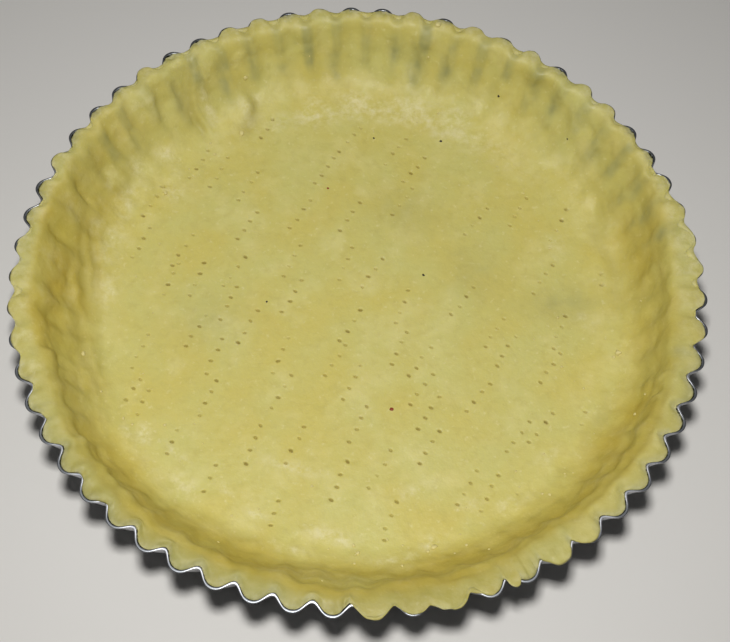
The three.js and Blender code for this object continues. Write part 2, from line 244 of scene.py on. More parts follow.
# Lumps of pastry and crumbs stuck to the surface: place, and radius.
LUMPS = (
    (-7.3, 110, 1.3), (-8.6, 108.6, 0.7), (78, 149, 1.4), (-163.7, 118.7, 0.9), (149.9, 103, 1.0),
    (-71.3, 110.5, 1.1), (-72.8, 111.6, 0.7), (-87, 109, 0.8), (118, 127, 1.1), (124, 104, 1.2),
)
LOOSE_CRUMBS = 70
LUMP_RINGS = 7
LUMP_SIDES = 10
LUMP_UNEVENNESS = 0.5
LUMP_RAISED = 0.35  # how far a lump's middle is above the surface, as a share of its half height

# Dark specks, of bran and burnt flour: place, radius, and whether it is reddish.
SPECKS = (
    (-70.8, 48.7, 0.8, True), (69.9, 95.8, 0.6, False), (88.7, 89, 0.45, False), (33.7, 32.4, 0.55, False),
    (180, 39, 0.45, False), (62, 126, 0.5, False), (44, 128, 0.4, False), (106, 62, 0.5, True),
)

# ---- the pastry's mesh ----
PATCH_RHO = 106  # how far out the triangulated floor reaches
COLUMNS = 960
FLOOR_SPACING = 1.25
STAGGER = 0.866  # the height of an equal-sided triangle
JITTER = 0.12
PRICK_ROOM = 2.3  # the grid keeps this far from a prick, in half slits

# Rings of points in and round each prick: how far out, in half slits, and how many points.
PRICK_RINGS = ((0, 1), (0.45, 6), (0.85, 8), (1.3, 9), (1.9, 10))

# How far apart the rows of points are up the wall and over the edge, and where the last rows lie: how far
# past the edge down the outside, and how far short of the underside's middle.
ROW_SPACING = 0.98
EDGE_SPACING = 0.6
OUTSIDE_ROWS = (3, 8, 19, 29, 33, 35)
UNDERSIDE_ROWS = (80, 12)


# ---- shared sums ----
def smooth(value, low, high):
    """0 below low, 1 above high, and an S curve between."""
    share = np.clip((value - low) / (high - low), 0, 1)
    return share * share * (3 - 2 * share)


def mound(distance, width):
    """A bell of height 1 that has fallen to a third at the given width."""
    return np.exp(-((distance / width) ** 2))


def scatter(number):
    """The same share of 0 to 1 for the same number."""
    wave = np.sin(number * 12.9898 + 78.233) * 43758.5453
    return wave - np.floor(wave)


def swells(points, size, seed):
    """Smooth unevenness from about -1 to 1, its bumps about size across: chance values on a cubic lattice,
    with a quintic ease between."""
    chance = np.random.default_rng(seed).uniform(-1, 1, 4096)
    place = points / size + seed * 7.3
    cell = np.floor(place).astype(np.int64)
    share = place - cell
    ease = share**3 * (share * (share * 6 - 15) + 10)
    total = np.zeros(len(points))
    for corner in itertools.product((0, 1), repeat=3):
        weight = np.prod(np.where(corner, ease, 1 - ease), axis=1)
        x, y, z = (cell + corner).T
        key = (x * 73856093) ^ (y * 19349663) ^ (z * 83492791)
        total += weight * chance[key & 4095]
    return total


def polar(radius, angle, *height):
    """Points at each radius and angle round the axis, with their heights if they are given."""
    return np.stack([radius * np.cos(angle), radius * np.sin(angle), *height], -1)


def degrees_between(angle, middle):
    """How far each angle, in radians, lies from a middle given in degrees."""
    return np.abs((np.degrees(angle) - middle + 180) % 360 - 180)


def turn_from(angle, middle):
    """How far each angle has turned from a middle, both in radians, from -pi to pi."""
    return (angle - middle + np.pi) % (2 * np.pi) - np.pi


def away_from(angle, rho, place):
    """How far each point is from a place on the pastry, in the half-lengths given with the place."""
    degrees, middle, round_half, along_half = place
    turn = turn_from(angle, math.radians(degrees))
    return np.hypot(turn * middle / round_half, (rho - middle) / along_half)


def warps(point, size, seeds):
    """Unevenness drawn once for each seed, side by side, by which marks stray from their places."""
    return np.stack([swells(point, size, seed) for seed in seeds], 1)


# ---- the fluted wall ----
def flute_number(angle):
    """How many flutes each angle lies round from the first."""
    return (np.degrees(angle) - FLUTE_TURN) / (360 / FLUTES)


def flute_wave(angle):
    """One cosine to a flute, less a share of half its wave length, which narrows the inward side."""
    turn = FLUTES * (angle - math.radians(FLUTE_TURN))
    return np.cos(turn) - FLUTE_SHARPNESS * np.cos(2 * turn)


def mean_radius(z):
    """The mean line of the wall leans out evenly from the base to the rim."""
    return BASE_MEAN + (RIM_MEAN - BASE_MEAN) * z / TIN_HEIGHT


def tin_outside(z, angle):
    """The mean line of the sloping wall, and half the flutes' depth at that height times the flute wave."""
    depth = BASE_FLUTE_DEPTH + (RIM_FLUTE_DEPTH - BASE_FLUTE_DEPTH) * z / TIN_HEIGHT
    return mean_radius(z) + depth / 2 * flute_wave(angle)


def tin_inside(z, angle):
    """The outside less the sheet."""
    return tin_outside(z, angle) - SHEET


# ---- the pastry's section ----
def stretches(rows, angle):
    """The sum of a raised cosine over each named stretch."""
    total = np.zeros_like(angle)
    for middle, half, by in rows:
        share = np.minimum(1, degrees_between(angle, middle) / half)
        total += by * (1 + np.cos(np.pi * share)) / 2
    return total


def hand_waves(angle, z=0):
    """Sines of a few whole waves round the case, turned a little with height."""
    return sum(height * np.sin(waves * angle + start + z * WAVE_LEAN * (1 + waves / 7))
               for waves, height, start in HAND_WAVES)


def lap_radius(angle):
    """The edge of the laps: the farthest of half ellipses, one to a stretch, out from the rim's mean line."""
    past = np.full_like(angle, BARE)
    for middle, half, reach in LAPS:
        share = np.minimum(1, degrees_between(angle, middle) / half)
        past = np.maximum(past, BARE + (reach - BARE) * np.sqrt(1 - share * share))
    return RIM_MEAN + past + LAP_FLUTING * flute_wave(angle)


def cut_radius(angle):
    """Where the pastry is cut off, just inside the rim."""
    return tin_inside(TIN_HEIGHT, angle) - CLEARANCE


def cover_radius(angle):
    """Round the back most lobes of the flutes are covered, each to its own reach."""
    flute = np.round(flute_number(angle)) % FLUTES
    reach = np.where(np.isin(flute, BARE_FLUTES), 0, 0.9 + 0.8 * scatter(flute * 0.7 + 0.5))
    lobe = smooth(flute_wave(angle), -0.75, 0.3) * smooth(np.sin(angle), -0.25, 0.1)
    return cut_radius(angle) + reach * lobe


def ragged(angle, size, seed):
    """Unevenness of an edge, from about -1 to 1, its bumps about size apart."""
    return swells(polar(RIM_MEAN, angle, np.zeros_like(angle)), size, seed)


def edge_radius(angle):
    """The farthest of the cut, the laps and the covered lobes, ragged where it isn't cut."""
    lapped = np.maximum(lap_radius(angle), cover_radius(angle))
    middle, half = TORN_EDGE
    torn = mound(degrees_between(angle, middle), half)
    lapped = lapped + (RAGGED + TORN * torn) * ragged(angle, 4, 51) + FRAYED * ragged(angle, 1.7, 52)
    return np.maximum(cut_radius(angle), lapped)


def over_rim(angle):
    """0 where the edge is cut off inside the rim, 1 where it laps over."""
    return smooth(edge_radius(angle) - cut_radius(angle), 0, 1.2)


def edge_height(angle):
    """The edge rises clear of the rim a little before a lap begins."""
    before = math.radians(1.2)
    raised = np.maximum.reduce([over_rim(angle - before), over_rim(angle), over_rim(angle + before)])
    return TIN_HEIGHT + CLEARANCE - SUNK_EDGE * (1 - raised)


def section(angle):
    """The pastry's cut face at each angle, as knots of radius and height: from the floor's middle, up the
    wall, over the lip and down the outside to the underside's middle. A thick lip hides the flutes."""
    flat = np.zeros_like(angle)
    knots = [(flat + FLOOR_RADIUS * share, flat + FLOOR_TOP) for share in (0, 0.36, 0.72)]
    knots += [(FLOOR_RADIUS + hand_waves(angle), flat + FLOOR_TOP)]
    thick_lip = stretches(THICK_LIPS, angle)
    showing = 1 - FLUTES_HIDDEN * smooth(thick_lip, 0.5, 3.5)
    thick_foot = stretches(THICK_FEET, angle)
    wave = flute_wave(angle) * RIM_FLUTE_DEPTH / 2
    for above, inset, imprint, lip_share, foot_share in WALL_STEPS:
        z = FLOOR_TOP + above
        radius = mean_radius(z) - SHEET - inset - thick_lip * lip_share - thick_foot * foot_share
        through = imprint * (1 - lip_share + lip_share * showing)
        knots.append((radius + hand_waves(angle, z) + through * wave, flat + z))
    inner = knots[-1][0]
    edge = edge_radius(angle)
    top = edge_height(angle)
    cut = cut_radius(angle)
    rise = LIP_RISE + LIP_WAVES * hand_waves(angle)
    knots.append((inner + 0.45 * (edge - inner), top * 0.4 + 0.6 * (TIN_HEIGHT + CLEARANCE) + rise))
    knots.append((edge - CREST_INSET, top + rise))
    knots.append((edge + EDGE_BULGE * over_rim(angle), top + LIP_RISE / 3))
    knots.append((cut, top))
    knots.append((cut - 0.2, top - 0.7))
    for z in (30, 17, 7, UNDERSIDE + CASE_CORNER):
        knots.append((tin_inside(z, angle) - CLEARANCE, flat + z))
    corner = tin_inside(UNDERSIDE, angle) - CLEARANCE - CASE_CORNER
    knots += [(corner * share, flat + UNDERSIDE) for share in (1, 0.5, 0)]
    ends = [knots[0]] * 2 + knots + [knots[-1]] * 2
    return np.stack(ends, 1)


def spline(knots, t):
    """A uniform cubic B-spline over each column of knots, read at that column's own t."""
    first = np.clip(np.floor(t).astype(int), 0, len(knots) - 4)
    f = t - first
    weights = ((1 - f) ** 3, 3 * f**3 - 6 * f**2 + 4, 3 * (f + f**2 - f**3) + 1, f**3)
    return sum(weight * np.take_along_axis(knots, (first + k)[None], 0)[0]
               for k, weight in enumerate(weights)) / 6


def measure_section():
    """The length of the mean section from the middle of the floor, for each t along it, and its radius."""
    angle = np.linspace(0, 2 * np.pi, 720, endpoint=False)
    radius, height = (knots.mean(axis=1, keepdims=True) for knots in section(angle))
    t = np.linspace(0, len(radius) - 3, 4001)
    r = spline(np.repeat(radius, len(t), 1), t)
    z = spline(np.repeat(height, len(t), 1), t)
    length = np.concatenate([[0], np.cumsum(np.hypot(np.diff(r), np.diff(z)))])
    return t, length, r


SECTION_T, SECTION_LENGTH, SECTION_RADIUS = measure_section()
EDGE_RHO = SECTION_LENGTH[np.argmax(SECTION_RADIUS)]
END_RHO = SECTION_LENGTH[-1]


def surface(angle, rho):
    """The point at each angle and each distance rho along the section, before the finer relief."""
    t = np.interp(rho, SECTION_LENGTH, SECTION_T)
    radius, height = section(angle)
    return polar(spline(radius, t), angle, spline(height, t))


def normals_of(angle, rho):
    """The cross product of the surface's slopes outward and round, or straight up or down at the middle."""
    step = 0.05
    out = surface(angle, rho + step) - surface(angle, rho - step)
    turn = step / 100
    around = surface(angle + turn, rho) - surface(angle - turn, rho)
    cross = np.cross(out, around)
    middle = (rho < 1) | (rho > END_RHO - 1)
    cross[middle] = np.where(rho[middle, None] < 1, (0, 0, 1), (0, 0, -1))
    return cross / np.linalg.norm(cross, axis=1, keepdims=True)


# ---- the pricks ----
def prick_places():
    """Each stroke is a leaning row of pricks, and each prick a slit across the row."""
    rows = []
    for x, y, lean in STROKES:
        way = math.radians(lean)
        along = np.arange(TINES) * TINE_PITCH
        rows += [np.stack([x + along * math.cos(way), y + along * math.sin(way), np.full(TINES, way)], 1)]
    places = np.concatenate(rows)
    places = places[np.hypot(places[:, 0], places[:, 1]) < PRICKED_RADIUS]
    draw = np.random.default_rng(11)
    places[:, :2] += draw.normal(0, 0.3, (len(places), 2))
    places[:, 2] += draw.normal(0, 0.2, len(places))
    force = np.clip(draw.normal(0.82, 0.22, len(places)), 0.35, 1.2)
    return places, force


PRICKS, PRICK_FORCE = prick_places()


def prick_distance(plan):
    """How far each point of the plan is from its nearest prick, in half slits, and the force of that prick.
    It works in slices to spare memory."""
    distance = np.full(len(plan), 99.0)
    force = np.zeros(len(plan))
    near = np.flatnonzero(np.hypot(*plan.T) < PRICKED_RADIUS + 5)
    for part in np.array_split(near, 24):
        gap = plan[part, None] - PRICKS[None, :, :2]
        along = gap[..., 0] * np.cos(PRICKS[:, 2]) + gap[..., 1] * np.sin(PRICKS[:, 2])
        across = gap[..., 0] * np.sin(PRICKS[:, 2]) - gap[..., 1] * np.cos(PRICKS[:, 2])
        size = 0.75 + 0.35 * PRICK_FORCE
        span = np.hypot(along / (PRICK_WIDTH / 2 * size), across / (PRICK_LENGTH / 2 * size))
        nearest = span.argmin(axis=1)
        distance[part] = span.min(axis=1)
        force[part] = PRICK_FORCE[nearest]
    return distance, force


# ---- the relief ----
def patches(rows, angle, rho):
    """The highest of a bell over each patch."""
    total = np.zeros_like(angle)
    for *place, strength in rows:
        total = np.maximum(total, strength * mound(away_from(angle, rho, place), 1))
    return total


def smooth_line(rows):
    """A Catmull-Rom curve through the places of a fold's line."""
    degrees, rho = np.array(rows, float).T
    knots = polar(rho, np.radians(degrees))
    knots = np.concatenate([[2 * knots[0] - knots[1]], knots, [2 * knots[-1] - knots[-2]]])
    share = np.linspace(0, 1, 9)[:-1, None]
    parts = []
    for a, b, c, d in zip(knots, knots[1:], knots[2:], knots[3:]):
        bend = 2 * a - 5 * b + 4 * c - d
        parts += [b + 0.5 * share * (c - a + share * (bend + share * (3 * (b - c) + d - a)))]
    return np.concatenate(parts + [knots[-2:-1]])


def fold_height(plan, height, width, line):
    """On the left of the line a roll that falls off slowly, and on the right a crease that opens slowly.
    It also gives where the crease is painted with shade.
    """
    run = smooth_line(line)
    middle = run.mean(axis=0)
    reach = np.linalg.norm(run - middle, axis=1).max() + 3 * width
    near = np.flatnonzero(np.linalg.norm(plan - middle, axis=1) < reach)
    gap = plan[near, None] - run[None]
    away = np.linalg.norm(gap, axis=2)
    nearest = away.argmin(axis=1)
    step = np.gradient(run, axis=0)[nearest]
    gap = gap[np.arange(len(near)), nearest]
    side = (step[:, 0] * gap[:, 1] - step[:, 1] * gap[:, 0]) / np.linalg.norm(step, axis=1)
    away = away.min(axis=1)
    ends = np.minimum(nearest, len(run) - 1 - nearest) / len(run)
    strength = smooth(ends, -0.12, 0.35)
    left = smooth(side, -1.8, 2.8)
    roll = left * np.exp(-(away / width) ** 1.5) - 0.4 * (1 - left) * mound(away, 4)
    raised = np.zeros(len(plan))
    crease_shade = np.zeros(len(plan))
    raised[near] = height * strength * roll
    crease_shade[near] = strength * mound(side + 1, 3) * mound(away, 5)
    return raised, crease_shade * min(1, height)


def dab_height(angle, rho):
    """Each dab is a plateau with a soft border, and a lump is painted with shade where it ends. They add up.
    """
    height = np.zeros_like(angle)
    crease_shade = np.zeros_like(angle)
    for *place, by in DABS:
        away = away_from(angle, rho, place)
        height += by * (1 - smooth(away, 0.3, 1.3))
        if by > 0:
            crease_shade = np.maximum(crease_shade, by * mound(away - 1.25, 0.3))
    return height, crease_shade


def ledge(angle, rho):
    """Round the front the floor's edge was pushed up on the wall's foot and ends in a thin ragged lip: a step
    down, just past a line that wanders, which dies away up the wall, and the line past the step that is
    painted with shade."""
    line = LEDGE_LINE + 2.4 * ragged(angle, 11, 81) + 1.3 * ragged(angle, 4, 82)
    strength = smooth(-np.sin(angle + 0.1), 0.35, 0.8) * smooth(ragged(angle, 15, 83), -0.5, 0.2)
    step = smooth(rho, line - 0.6, line + 0.9)
    return -strength * step * (1 - smooth(rho, line + 2, line + 11)), strength * mound(rho - line - 1, 1.3)


def lip_groove(angle, rho):
    """Where the lip turns down to the wall: plainest round the front, where it is a broad bevel."""
    strength = smooth(-np.sin(angle - 0.25), -0.35, 0.3)
    line = GROOVE_LINE - 2 * strength + 0.6 * np.sin(3 * angle + 1) + 0.25 * np.sin(11 * angle)
    line += 0.15 * np.sin(29 * angle + 2)
    return (0.25 + 0.75 * strength) * mound(rho - line, 1.7 + strength)


def streaks(angle, rho):
    """Long soft ridges where the pastry was drawn along: parallel to the rim round the front, and slanting up
    the right side. They fade out towards the back."""
    round_way = turn_from(angle, -np.pi / 2) * 125
    flat = np.zeros_like(rho)
    front = np.stack([round_way / 5.5, rho, flat], 1)
    slant = np.stack([(round_way + rho) / 4, rho - 0.8 * round_way, flat], 1)
    at_front = smooth(-np.sin(angle), -0.55, 0.25)
    at_right = smooth(np.cos(angle), 0.35, 0.9) * smooth(np.sin(angle), -0.5, -0.1)
    ridges = at_front * (swells(front, 8, 61) + 0.4 * swells(front, 4.5, 62))
    return ridges * (1 - at_right) + at_right * swells(slant, 9, 63)


def finger_dents(angle, rho):
    """A dent pressed into each flute, each of its own depth, height and lean."""
    flute = np.round(flute_number(angle)) % FLUTES
    middle = np.radians(FLUTE_TURN + flute * 360 / FLUTES) + (scatter(flute + 0.3) - 0.5) * 0.03
    across = turn_from(angle, middle) * rho + (rho - 130) * (scatter(flute + 0.6) - 0.5) * 0.4
    height = FINGER_HEIGHT + 14 * scatter(flute + 0.9)
    force = 0.15 + 0.85 * scatter(flute + 0.1)
    return force * mound(across, 4.2) * mound(rho - height, 8 + 5 * scatter(flute + 0.2))


def flute_ridges(angle, rho):
    """Where the tin's inward ridges show through, most at the back, each to its own height."""
    ridge = smooth(-flute_wave(angle), -0.3, 1.1)
    number = np.floor(flute_number(angle))
    low = RIDGE_FOOT + 12 * scatter(number + 0.45)
    high = RIDGE_TOP + 8 * scatter(number + 0.75)
    back = 0.12 + 0.88 * smooth(np.sin(angle), -0.1, 0.75)
    rising = smooth(rho, low, low + 8) * (1 - smooth(rho, high - 3, high + 5))
    return ridge * rising * back * (0.25 + 0.75 * scatter(number + 0.15))


def lip_notches(angle, rho):
    """The lip sinks over the tin's inward ridges, each to its own depth, which leaves pillows between."""
    number = np.floor(flute_number(angle))
    sunk = smooth(-flute_wave(angle), -0.1, 1.1) * (0.3 + 0.7 * scatter(number + 0.35))
    reach = RIDGE_TOP + 4 * scatter(number + 0.55)
    return sunk * smooth(rho, reach, reach + 5)


def facing(angle, degrees, low, high):
    """1 on the side of the case that lies the given way, and 0 on the far side."""
    return smooth(np.cos(angle - math.radians(degrees)), low, high)


def marks(angle, rho, point):
    """How far the marks raise the pastry, and how strong each kind is that changes its colour."""
    warp = warps(point, 14, (71, 72))
    plan = polar(rho, angle)

    # Where on the case each point is, as shares.
    on_wall = smooth(rho, *WALL_FROM)
    lower_wall = on_wall * (1 - smooth(rho, *LOWER_WALL_TO))
    wall_tint = smooth(rho, *WALL_TINT_FROM) * (1 - smooth(rho, *WALL_TINT_TO))
    back = smooth(np.sin(angle), -0.2, 0.5)
    front = facing(angle, -80, 0.0, 0.6)
    left = smooth(-np.cos(angle), 0.6, 0.95)
    # Painted shade: the wall is darker and more olive round the front and both sides, where it turns from the
    # light.
    painted_wall_shade = np.maximum(front, (0.6 + 0.4 * left) * smooth(np.abs(np.cos(angle)), 0.75, 1.0))
    lobes = smooth(flute_wave(angle), -0.6, 0.5) * (1 - front)
    cut_edge = smooth(rho, EDGE_RHO - 5.5, EDGE_RHO - 0.5) ** 2 * (1 - over_rim(angle))

    # The marks themselves.
    drawn = lower_wall * streaks(angle, rho)
    dabs, around = dab_height(angle + 0.012 * warp[:, 0], rho + 1.8 * warp[:, 1])
    step, ledge_shade = ledge(angle, rho)
    groove = lip_groove(angle, rho + 0.5 * warp[:, 0])
    lumpy = swells(point + 2 * warps(point, 9, (73, 74, 75)), 13, 5)
    distance, force = prick_distance(plan)

    height = sum((floor + wall * on_wall) * swells(point, size, seed)
                 for floor, wall, size, seed in UNEVENNESS)
    height += DRAWN_HEIGHT * drawn
    fold = np.zeros_like(rho)
    for row in FOLDS:
        raised, crease_shade = fold_height(plan + 1.6 * warp, *row)
        height += raised
        fold = np.maximum(fold, crease_shade)
    height += DAB_HEIGHT * (1 - 0.55 * front) * dabs + LEDGE_HEIGHT * step
    height -= (GROOVE_DEPTH[0] + GROOVE_DEPTH[1] * front) * groove
    height -= (DENT_DEPTH[0] + DENT_DEPTH[1] * back) * finger_dents(angle, rho)
    height -= NOTCH_DEPTH * (1 - 0.7 * front) * lip_notches(angle, rho)
    height += LUMPY_HEIGHT * lower_wall * (1 - 0.5 * front) * (np.sqrt(lumpy ** 2 + 0.004) - 0.25)
    height -= PRICK_DEPTH * force * (1 - smooth(distance, 0.35, 1.25))
    height += PRICK_LIP * force * mound(distance - 1.8, 0.6)
    height *= 1 - smooth(rho, EDGE_RHO - 1, EDGE_RHO + 2)

    # Painted shade in the creases of the folds, round the lumps' borders, in the dents and past the ledge.
    fold = np.maximum.reduce([fold, 0.3 * around, 0.7 * ledge_shade, np.clip(-0.3 * dabs, 0, 0.4)])
    thin = np.maximum(patches(THIN_PATCHES, angle, rho), 0.85 * flute_ridges(angle, rho))
    thin = np.maximum(thin, 0.7 * cut_edge) + 0.16 * back * wall_tint
    # Flour patches and the drier lip are paler, and the lip's lobes paler still; the paler tops of the dabs
    # and ridges of the streaks are painted highlight.
    flour_and_highlight = np.maximum.reduce([
        patches(FLOURED, angle + 0.02 * warp[:, 0], rho + 2 * warp[:, 1]),
        (0.1 + 0.28 * lobes) * smooth(rho, 144, 150) + 0.3 * smooth(rho, 151, 155),
        np.clip(0.35 * dabs, 0, 0.4),
        np.clip(0.25 * drawn, 0, 0.3),
    ])
    return height, {
        "thin": thin * (0.8 + 0.3 * swells(point, 4, 31)),
        "flour_and_highlight": flour_and_highlight,
        # The fold mark is painted shade: in the creases, in the groove inside the lip round the front, and in
        # the streaks' hollows.
        "fold": np.clip(0.9 * fold + 0.8 * front * groove + 0.25 * np.clip(-drawn, 0, 1), 0, 1),
        # Painted shade inside each prick.
        "pit_shade": force * (1 - smooth(distance, 0.3, 1.6)),
        "lip": (0.35 + 0.6 * facing(angle, -102, 0.5, 0.95)) * smooth(rho, *LIP_TINT_FROM),
        # Painted shade on the wall, strongest round the front and sides.
        "wall": painted_wall_shade * wall_tint * (0.85 + 0.25 * swells(point, 16, 32)),
    }


def pastry_points(angle, rho):
    """The surface with its relief added along its normals, those normals, and the marks' strengths."""
    point = surface(angle, rho)
    normal = normals_of(angle, rho)
    height, strengths = marks(angle, rho, point)
    return point + normal * height[:, None], normal, strengths


# ---- meshes ----
def put_in_scene(name, data):
    """An object with that name and data, linked to the scene."""
    thing = bpy.data.objects.new(name, data)
    bpy.context.scene.collection.objects.link(thing)
    return thing


def make_piece(name, points, faces, material):
    """One mesh object at the origin, from points in millimetres."""
    mesh = bpy.data.meshes.new(name)
    mesh.from_pydata((points * MM).tolist(), [], faces)
    mesh.validate()
    mesh.shade_smooth()
    mesh.materials.append(material)
    return put_in_scene(name, mesh)


def add_attribute(piece, name, values):
    """A number for each point of the mesh, for its material to read."""
    layer = piece.data.attributes.new(name, "FLOAT", "POINT")
    layer.data.foreach_set("value", values.astype(np.float32))


def ring_faces(first, second, count):
    """Quads between two rings of as many points, facing left of the way from the first to the second."""
    here = np.arange(count)
    there = (here + 1) % count
    return np.stack([first + here, second + here, second + there, first + there], 1)


def fan_faces(tip, first, second):
    """Triangles from a point to each pair of neighbours."""
    return np.stack([np.full(len(first), tip), first, second], 1)


def column_angles(count):
    """Angles round the case, closer together at the front, where the edge is torn."""
    angle = np.linspace(-np.pi, np.pi, 7201)
    crowding = 1 + 0.9 * mound(degrees_between(angle, -72), 26)
    place = np.concatenate([[0], np.cumsum((crowding[1:] + crowding[:-1]) / 2)])
    return np.interp(np.arange(count) / count * place[-1], place, angle)


def floor_plan(ring):
    """Points of the floor seen from above: its outer ring, rings round each prick, and a staggered grid
    between, joined by a Delaunay triangulation inside the outer ring."""
    slit = polar(1, PRICKS[:, 2])
    beside = np.stack([-slit[:, 1], slit[:, 0]], 1)
    around = []
    for radius, count in PRICK_RINGS:
        for turn in np.arange(count) * 2 * np.pi / count + radius * 3:
            reach = PRICK_WIDTH * math.cos(turn) * slit + PRICK_LENGTH * math.sin(turn) * beside
            around.append(PRICKS[:, :2] + radius / 2 * reach)
    around = np.concatenate(around)
    x, y = np.meshgrid(*(np.arange(-110, 110, FLOOR_SPACING * share) for share in (1, STAGGER)))
    x = x + (np.arange(len(x)) % 2 * FLOOR_SPACING / 2)[:, None]
    grid = np.stack([x.ravel(), y.ravel()], 1)
    grid += np.random.default_rng(5).uniform(-JITTER, JITTER, grid.shape)
    grid = grid[prick_distance(grid)[0] > PRICK_ROOM]
    inner = np.concatenate([around, grid])
    inner = inner[np.hypot(*inner.T) < PATCH_RHO - 0.7]
    plan = np.concatenate([ring, inner])
    border = [list(range(len(ring)))]
    _, _, faces, sources, _, _ = delaunay_2d_cdt([Vector(p) for p in plan.tolist()], [], border, 1, 1e-6)
    return plan, [[sources[corner][0] for corner in face] for face in faces]


def pastry_grid():
    """Where each point of the pastry lies, as an angle and a distance along the section, and the faces."""
    columns = column_angles(COLUMNS)
    plan, faces = floor_plan(polar(PATCH_RHO, columns))
    rows = np.concatenate([
        np.arange(PATCH_RHO, EDGE_RHO - 3, ROW_SPACING)[1:],
        np.arange(EDGE_RHO - 3, EDGE_RHO + 1.6, EDGE_SPACING),
        EDGE_RHO + np.array(OUTSIDE_ROWS),
        END_RHO - np.array(UNDERSIDE_ROWS),
    ])
    angle = np.concatenate([np.arctan2(plan[:, 1], plan[:, 0]), np.tile(columns, len(rows)), [0.0]])
    rho = np.concatenate([np.hypot(*plan.T), np.repeat(rows, COLUMNS), [END_RHO]])
    starts = [0] + [len(plan) + k * COLUMNS for k in range(len(rows))]
    for inner, outer in zip(starts, starts[1:]):
        faces += ring_faces(inner, outer, COLUMNS).tolist()
    last = len(rho) - 1
    tip = starts[-1] + np.arange(COLUMNS)
    faces += np.stack([tip, np.full(COLUMNS, last), np.roll(tip, -1)], 1).tolist()
    return angle, rho, faces


def make_pastry(material):
    """The pastry, with the strengths of its marks kept for its material to read."""
    angle, rho, faces = pastry_grid()
    points, _, strengths = pastry_points(angle, rho)
    piece = make_piece("pastry", points, faces, material)
    for name, values in strengths.items():
        add_attribute(piece, name, values)
    return piece


def make_lumps(name, degrees, rho, radius, flatness, seed, material):
    """Small lumps on the pastry: balls swollen unevenly, pressed flat and sunk a little."""
    rings, sides = LUMP_RINGS, LUMP_SIDES
    tilt = np.repeat(np.linspace(0, np.pi, rings + 2)[1:-1], sides)
    turn = np.tile(np.arange(sides) * 2 * np.pi / sides, rings)
    ball = np.concatenate([polar(np.sin(tilt), turn, np.cos(tilt)), [(0, 0, 1), (0, 0, -1)]])
    faces = np.concatenate([ring_faces(k * sides, (k + 1) * sides, sides) for k in range(rings - 1)])
    here = np.arange(sides)
    there = (here + 1) % sides
    last = (rings - 1) * sides
    top = rings * sides
    fans = np.concatenate([fan_faces(top, here, there), fan_faces(top + 1, last + there, last + here)])
    place, normal, _ = pastry_points(np.radians(degrees), rho)
    across = np.cross(normal, (0.3, 0.9, 0.2))
    across /= np.linalg.norm(across, axis=1, keepdims=True)
    along = np.cross(normal, across)
    frames = np.stack([across, along, normal * flatness], 1)
    points = np.einsum("pk,nkc->npc", ball, frames) * radius[:, None, None]
    spread = np.arange(len(place))[:, None, None] * 17.0
    bumps = swells((points / radius[:, None, None] + spread).reshape(-1, 3), 0.9, seed)
    points *= 1 + LUMP_UNEVENNESS * bumps.reshape(len(place), -1, 1)
    points += (place + normal * (radius * flatness * LUMP_RAISED)[:, None])[:, None]
    count = len(ball)
    joined = []
    for k in range(len(place)):
        joined += (faces + k * count).tolist()
        joined += (fans + k * count).tolist()
    return make_piece(name, points.reshape(-1, 3), joined, material)


def make_crumbs(material):
    """The named lumps, and small crumbs strewn mostly where the floor meets the wall."""
    draw = np.random.default_rng(8)
    loose = [
        draw.uniform(-180, 180, LOOSE_CRUMBS),
        np.clip(draw.normal(104, 14, LOOSE_CRUMBS), 10, 150),
        draw.uniform(0.25, 0.6, LOOSE_CRUMBS),
    ]
    return make_lumps("crumbs", *np.concatenate([np.array(LUMPS).T, loose], 1), 0.6, 41, material)


def make_specks(name, reddish, material):
    """The specks of one colour, pressed flatter than the crumbs."""
    rows = np.array([row[:3] for row in SPECKS if row[3] == reddish])
    return make_lumps(name, *rows.T, 0.35, 42, material)


def tin_section(angle):
    """The tin's cut face: across the underside, up the outside, round the folded edge and down the inside."""
    rim = TIN_HEIGHT
    fold = rim - HEM_HEIGHT
    base = tin_outside(0, angle)
    rows = [(base * share, 0) for share in (0.4, 0.8)]
    rows += [(base - 1.2, 0), (base - 0.3, 0.08), (tin_outside(0.5, angle), 0.5)]
    rows += [(tin_outside(z, angle), z) for z in (2, 8, 14, 20, 26, 31, fold - 0.1)]
    for start, profile in ((fold, HEM_FOOT), (rim, HEM_TOP)):
        rows += [(tin_outside(start + above, angle) + out, start + above) for above, out in profile]
    rows += [(tin_inside(z, angle), z) for z in (33, 28, 21, 14, 7, 2.5, 1.4)]
    inner = tin_inside(SHEET, angle)
    rows += [(inner - 0.3, 0.9), (inner - 1.2, SHEET)]
    rows += [(inner * share, SHEET) for share in (0.8, 0.4)]
    return rows


